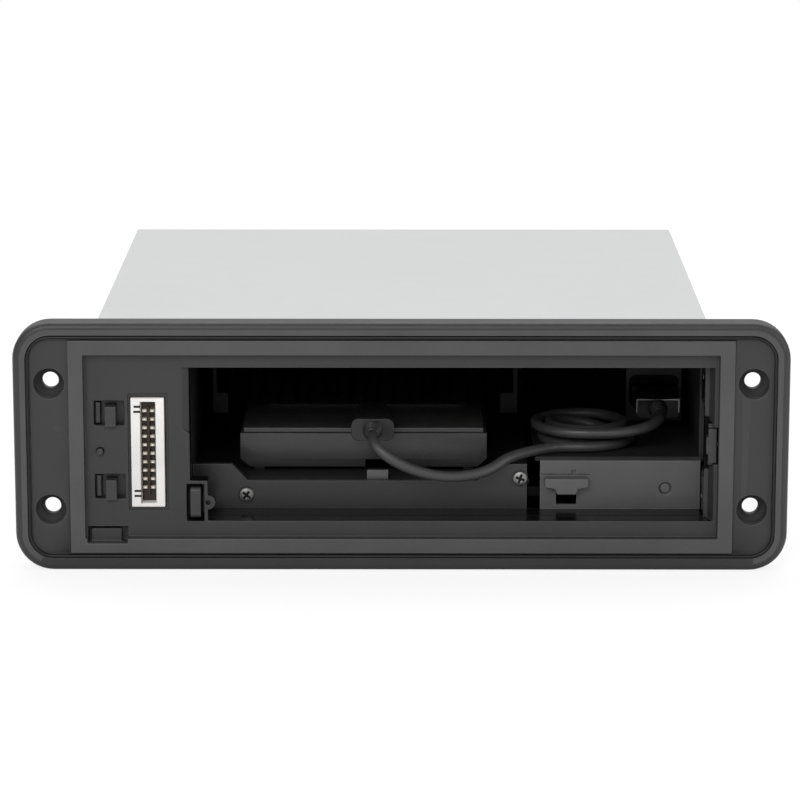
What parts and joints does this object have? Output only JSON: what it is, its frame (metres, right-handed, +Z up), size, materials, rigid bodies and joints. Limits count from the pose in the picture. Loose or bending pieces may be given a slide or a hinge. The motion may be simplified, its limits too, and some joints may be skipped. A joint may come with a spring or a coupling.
{
  "type": "motorcycle stereo",
  "caption": "sealed motorcycle stereo with its front panel off: bezel, dock tray on a slide, thumb release, USB lead, white panel connector and sheet-metal chassis",
  "frame": {"origin": "centre of the four fixing holes, on the back face of the bezel", "axes": "+X right seen from the front, +Y back into the chassis, +Z up"},
  "size_m": [0.225, 0.2123, 0.0738],
  "materials": {
    "satin_black": "satin moulded black, fine spark grain",
    "seal_rubber": "smooth black sealing bead",
    "gasket_rubber": "closed-cell foam rubber, matt",
    "zinc_sheet": "light grey zinc-plated steel sheet, dull",
    "screw_steel": "passivated steel screws, semi-bright",
    "inner_black": "matt black moulding",
    "apron_plastic": "satin dark grey moulding",
    "ledge_plastic": "satin dark grey moulding",
    "runner_plastic": "dark slippery plastic",
    "tray_black": "matt black moulding, fine grain",
    "mat_rubber": "ribbed soft rubber",
    "tab_black": "satin black moulding",
    "latch_steel": "black-coated steel strip",
    "spring_steel": "drawn spring wire",
    "switch_black": "matt black moulding",
    "connector_white": "off-white nylon, satin",
    "core_black": "dark moulding",
    "gold_plate": "gold flash over brass",
    "board_green": "green solder mask over glass fibre",
    "board_black": "black solder mask over glass fibre",
    "ribbon_grey": "grey flat cable",
    "tin_plate": "tin-plated steel, semi-bright",
    "cable_black": "soft black sheath, faint sheen",
    "sleeve_blue": "shrunk sleeve, glossy",
    "copper_wire": "enamelled copper",
    "dark_aluminium": "black anodised extrusion",
    "fuse_amber": "tinted clear plastic"
  },
  "bodies": {
    "chassis": {"front_bezel": "satin_black", "face_seal": "seal_rubber", "mounting_gasket": "gasket_rubber", "chassis_base": "zinc_sheet", "top_cover": "zinc_sheet", "rear_panel": "zinc_sheet", "case_screws": "screw_steel", "bay_tub": "inner_black", "dock_apron": "apron_plastic", "apron_screws": "screw_steel", "control_ledge": "ledge_plastic", "left_guide": "inner_black", "right_guide": "inner_black", "tray_runners": "runner_plastic", "latch_spring": "spring_steel", "reset_switch": "switch_black", "panel_connector": "connector_white", "connector_core": "core_black", "connector_pins": "gold_plate", "front_board": "board_black", "front_ribbon": "ribbon_grey", "panel_hooks": "satin_black", "sense_switch": "switch_black", "ejector_spring": "spring_steel", "catch_spring": "spring_steel", "catch_keeper": "latch_steel", "usb_bracket": "inner_black", "usb_socket": "tin_plate", "usb_plug": "cable_black", "cable_tail": "cable_black", "cable_coil": "cable_black", "cable_lead": "cable_black", "main_board": "board_green", "board_screws": "screw_steel", "processor_chip": "switch_black", "tuner_can": "tin_plate", "amplifier_chip": "switch_black", "power_capacitors": "sleeve_blue", "filter_choke": "copper_wire", "heat_sink": "dark_aluminium", "power_socket": "inner_black", "power_pins": "gold_plate", "aerial_socket": "tin_plate", "line_out_sockets": "inner_black", "fuse_holder": "inner_black", "blade_fuse": "fuse_amber"},
    "dock_tray": {"dock_tray": "tray_black", "tray_bed": "tray_black", "tray_mat": "mat_rubber", "micro_plug": "cable_black"},
    "release_tab": {"release_tab": "tab_black", "latch_bar": "latch_steel"},
    "reset_button": {"reset_button": "tab_black"},
    "panel_ejector": {"panel_ejector": "tab_black"},
    "panel_catch": {"panel_catch": "satin_black"},
    "sense_pin": {"sense_pin": "tab_black"}
  },
  "joints": [
    {"name": "tray_slide", "type": "slide", "parent": "chassis", "child": "dock_tray", "axis": [0, -1, 0], "range_m": [0, 0.075], "deforming": ["cable_lead"]},
    {"name": "tab_slide", "type": "slide", "parent": "chassis", "child": "release_tab", "axis": [0, 0, -1], "range_m": [0, 0.0042], "stiffness_N_per_m": 300, "deforming": ["latch_spring"]},
    {"name": "reset_press", "type": "slide", "parent": "chassis", "child": "reset_button", "axis": [0, 1, 0], "range_m": [0, 0.0008], "stiffness_N_per_m": 500},
    {"name": "ejector_press", "type": "slide", "parent": "chassis", "child": "panel_ejector", "axis": [0, 1, 0], "range_m": [0, 0.003], "stiffness_N_per_m": 400, "deforming": ["ejector_spring"]},
    {"name": "catch_press", "type": "slide", "parent": "chassis", "child": "panel_catch", "axis": [1, 0, 0], "range_m": [0, 0.0018], "stiffness_N_per_m": 500, "deforming": ["catch_spring"]},
    {"name": "sense_press", "type": "slide", "parent": "chassis", "child": "sense_pin", "axis": [0, 1, 0], "range_m": [0, 0.0012], "stiffness_N_per_m": 300}
  ]
}
